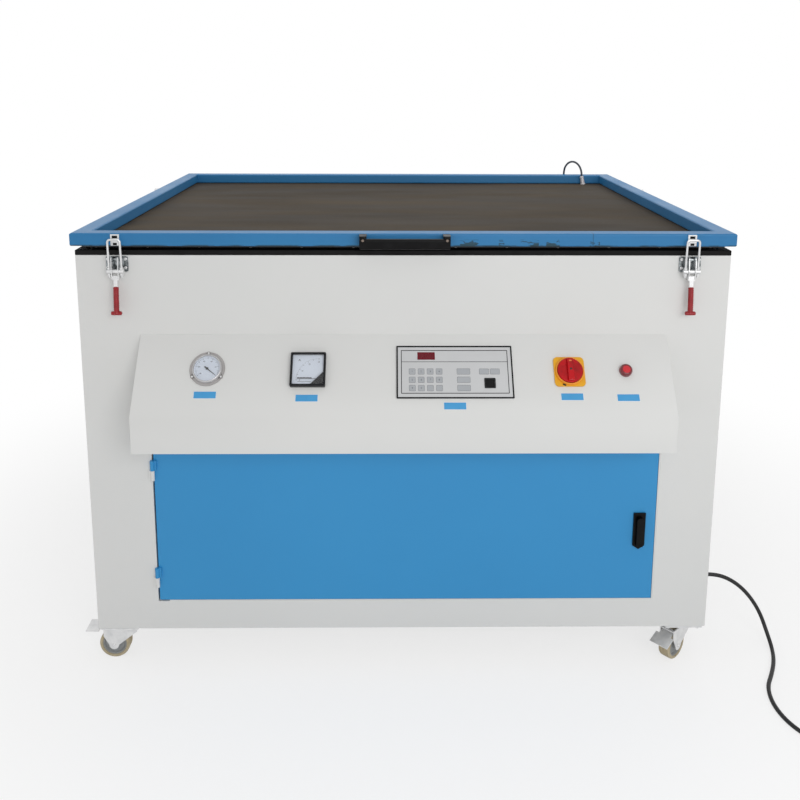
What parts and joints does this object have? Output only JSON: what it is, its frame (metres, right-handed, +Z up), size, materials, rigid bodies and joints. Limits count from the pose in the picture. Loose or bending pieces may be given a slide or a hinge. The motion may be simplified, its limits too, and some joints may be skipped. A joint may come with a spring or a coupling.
{
  "type": "screen printing exposure unit",
  "caption": "Cabinet on casters with a glass exposure bed under a hinged vacuum lid, a sloping control console and a service door.",
  "frame": {"origin": "on the floor, under the middle of the object without its power cord and vacuum hose", "axes": "+X to the right and +Y to the back as seen from the console side, +Z up"},
  "size_m": [1.89, 1.5483, 1.1425],
  "materials": {
    "frame_paint": "satin powder coat",
    "cabinet_white": "satin powder coat, off-white",
    "lid_blue": "satin powder coat, blue",
    "door_blue": "satin powder coat, blue",
    "rim_black": "matt black sponge strip",
    "seal_black": "matt black",
    "blanket": "matt black sheet",
    "glass": "clear plate",
    "zinc": "bright zinc plated",
    "chrome": "polished",
    "aluminium": "rolled",
    "black_plastic": "fine grain",
    "gauge_body": "satin ring and flange, white dial",
    "ammeter_body": "smooth",
    "timer_body": "smooth",
    "switch_yellow": "smooth",
    "switch_red": "smooth",
    "lamp_red": "smooth lens",
    "needle": "black enamel",
    "grip_red": "bright zinc plated, dipped red grip",
    "handle_black": "smooth",
    "spring_black": "black enamel",
    "pump_grey": "painted",
    "ballast_grey": "lacquered",
    "wheel_tan": "smooth tread",
    "hose_dark": "smooth",
    "cord_black": "smooth jacket",
    "fan_black": "moulded"
  },
  "bodies": {
    "cabinet": {"inner_frame": "frame_paint", "front_panel": "cabinet_white", "side_panels": "cabinet_white", "rear_panel": "cabinet_white", "top_rim": "rim_black", "glass_plate": "glass", "console_housing": "cabinet_white", "door_hinge_posts": "cabinet_white", "gauge_case": "gauge_body", "ammeter_case": "ammeter_body", "timer_panel": "timer_body", "main_switch_plate": "switch_yellow", "pilot_lamp": "lamp_red", "lid_hinge_leaves": "zinc", "latch_bases": "zinc", "gas_spring_panel_studs": "zinc", "uv_lamp": "aluminium", "vacuum_pump": "pump_grey", "lamp_ballast": "ballast_grey", "fan_housing": "fan_black", "caster_plates": "zinc", "hose_bulkhead": "zinc", "vacuum_hose": "hose_dark", "cable_gland": "black_plastic", "power_cord": "cord_black", "power_cord_coil": "cord_black", "power_plug": "cord_black"},
    "lid": {"lid_frame": "lid_blue", "rubber_blanket": "blanket", "lid_seal": "seal_black", "blanket_clamps": "zinc", "lid_handle": "handle_black", "latch_keepers": "zinc", "lid_hinge_straps": "zinc", "gas_spring_lid_studs": "zinc", "blanket_fitting": "chrome"},
    "gas_cylinder_left": {"gas_spring_cylinder_left": "spring_black"},
    "gas_rod_left": {"gas_spring_rod_left": "chrome"},
    "latch_lever_left": {"latch_lever_left": "grip_red"},
    "latch_bolt_left": {"latch_bolt_left": "zinc"},
    "fork_left": {"caster_fork_front_left": "zinc"},
    "pedal_left": {"brake_pedal_left": "zinc"},
    "wheel_front_left": {"caster_wheel_front_left": "wheel_tan"},
    "wheel_rear_left": {"caster_wheel_rear_left": "wheel_tan"},
    "gas_cylinder_right": {"gas_spring_cylinder_right": "spring_black"},
    "gas_rod_right": {"gas_spring_rod_right": "chrome"},
    "latch_lever_right": {"latch_lever_right": "grip_red"},
    "latch_bolt_right": {"latch_bolt_right": "zinc"},
    "fork_right": {"caster_fork_front_right": "zinc"},
    "pedal_right": {"brake_pedal_right": "zinc"},
    "wheel_front_right": {"caster_wheel_front_right": "wheel_tan"},
    "wheel_rear_right": {"caster_wheel_rear_right": "wheel_tan"},
    "door": {"door_panel": "door_blue", "door_lock_plate": "black_plastic"},
    "door_lock": {"door_lock_lever": "black_plastic"},
    "main_switch": {"main_switch_knob": "switch_red"},
    "rocker": {"timer_rocker": "black_plastic"},
    "gauge_pointer": {"gauge_needle": "needle"},
    "ammeter_pointer": {"ammeter_needle": "needle"},
    "fan": {"fan_rotor": "fan_black"}
  },
  "joints": [
    {"name": "lid_hinge", "type": "hinge", "parent": "cabinet", "child": "lid", "pos_m": [0, 0.665, 1.057], "axis": [-1, 0, 0], "range_deg": [0, 60], "deforming": ["vacuum_hose"]},
    {"name": "gas_cylinder_left_swing", "type": "hinge", "parent": "cabinet", "child": "gas_cylinder_left", "pos_m": [-0.775, 0.47695, 0.76181], "axis": [-1, 0, 0], "range_deg": [0, 30]},
    {"name": "gas_rod_left_swing", "type": "hinge", "parent": "lid", "child": "gas_rod_left", "pos_m": [-0.775, 0.31533, 1.07227], "axis": [-1, 0, 0], "range_deg": [-30, 0]},
    {"name": "latch_lever_left_turn", "type": "hinge", "parent": "cabinet", "child": "latch_lever_left", "pos_m": [-0.655, -0.56794, 1.034], "axis": [-1, 0, 0], "range_deg": [-5, 75]},
    {"name": "latch_bolt_left_turn", "type": "hinge", "parent": "latch_lever_left", "child": "latch_bolt_left", "pos_m": [-0.655, -0.56794, 1.006], "axis": [-1, 0, 0], "range_deg": [-117, 7.8]},
    {"name": "gas_cylinder_right_swing", "type": "hinge", "parent": "cabinet", "child": "gas_cylinder_right", "pos_m": [0.775, 0.47695, 0.76181], "axis": [-1, 0, 0], "range_deg": [0, 30]},
    {"name": "gas_rod_right_swing", "type": "hinge", "parent": "lid", "child": "gas_rod_right", "pos_m": [0.775, 0.31533, 1.07227], "axis": [-1, 0, 0], "range_deg": [-30, 0]},
    {"name": "latch_lever_right_turn", "type": "hinge", "parent": "cabinet", "child": "latch_lever_right", "pos_m": [0.655, -0.56794, 1.034], "axis": [-1, 0, 0], "range_deg": [-5, 75]},
    {"name": "latch_bolt_right_turn", "type": "hinge", "parent": "latch_lever_right", "child": "latch_bolt_right", "pos_m": [0.655, -0.56794, 1.006], "axis": [-1, 0, 0], "range_deg": [-117, 7.8]},
    {"name": "door_hinge", "type": "hinge", "parent": "cabinet", "child": "door", "pos_m": [-0.5975, -0.5562, 0.379], "axis": [0, 0, -1], "range_deg": [0, 110]},
    {"name": "door_lock_turn", "type": "hinge", "parent": "door", "child": "door_lock", "pos_m": [0.572, -0.556, 0.388], "axis": [0, -1, 0], "range_deg": [0, 90]},
    {"name": "main_switch_turn", "type": "hinge", "parent": "cabinet", "child": "main_switch", "pos_m": [0.3753, -0.61431, 0.7855], "axis": [0, -0.7858, 0.6185], "range_deg": [0, 90]},
    {"name": "rocker_tilt", "type": "hinge", "parent": "cabinet", "child": "rocker", "pos_m": [0.193, -0.62654, 0.76026], "axis": [1, 0, 0], "range_deg": [-10, 10]},
    {"name": "gauge_pointer_turn", "type": "hinge", "parent": "cabinet", "child": "gauge_pointer", "pos_m": [-0.448, -0.60612, 0.78847], "axis": [0, -0.7858, 0.6185], "range_deg": [0, 270]},
    {"name": "ammeter_pointer_turn", "type": "hinge", "parent": "cabinet", "child": "ammeter_pointer", "pos_m": [-0.195, -0.62451, 0.76833], "axis": [0, 0.7858, -0.6185], "range_deg": [0, 90]},
    {"name": "fan_spin", "type": "hinge", "parent": "cabinet", "child": "fan", "pos_m": [0.3, 0.617, 0.4], "axis": [0, 1, 0], "continuous": true},
    {"name": "caster_swivel_left", "type": "hinge", "parent": "cabinet", "child": "fork_left", "pos_m": [-0.698, -0.506, 0.09], "axis": [0, 0, 1], "continuous": true},
    {"name": "wheel_front_left_spin", "type": "hinge", "parent": "fork_left", "child": "wheel_front_left", "pos_m": [-0.723, -0.506, 0.0375], "axis": [0, -1, 0], "continuous": true},
    {"name": "brake_pedal_left_press", "type": "hinge", "parent": "fork_left", "child": "pedal_left", "pos_m": [-0.74, -0.506, 0.078], "axis": [0, -1, 0], "range_deg": [0, 24]},
    {"name": "caster_swivel_right", "type": "hinge", "parent": "cabinet", "child": "fork_right", "pos_m": [0.698, -0.506, 0.09], "axis": [0, 0, 1], "continuous": true},
    {"name": "wheel_front_right_spin", "type": "hinge", "parent": "fork_right", "child": "wheel_front_right", "pos_m": [0.67942, -0.52273, 0.0375], "axis": [0.6691, -0.7431, 0], "continuous": true},
    {"name": "brake_pedal_right_press", "type": "hinge", "parent": "fork_right", "child": "pedal_right", "pos_m": [0.66679, -0.5341, 0.078], "axis": [0.6691, -0.7431, 0], "range_deg": [-24, 0]},
    {"name": "wheel_rear_left_spin", "type": "hinge", "parent": "cabinet", "child": "wheel_rear_left", "pos_m": [-0.698, 0.604, 0.0375], "axis": [1, 0, 0], "continuous": true},
    {"name": "wheel_rear_right_spin", "type": "hinge", "parent": "cabinet", "child": "wheel_rear_right", "pos_m": [0.698, 0.604, 0.0375], "axis": [1, 0, 0], "continuous": true}
  ],
  "couplings": [
    {"joint": "gas_cylinder_left_swing", "follows": "lid_hinge", "ratio": 0.5},
    {"joint": "gas_rod_left_swing", "follows": "lid_hinge", "ratio": -0.5},
    {"joint": "latch_bolt_left_turn", "follows": "latch_lever_left_turn", "ratio": -1.56},
    {"joint": "gas_cylinder_right_swing", "follows": "lid_hinge", "ratio": 0.5},
    {"joint": "gas_rod_right_swing", "follows": "lid_hinge", "ratio": -0.5},
    {"joint": "latch_bolt_right_turn", "follows": "latch_lever_right_turn", "ratio": -1.56}
  ]
}
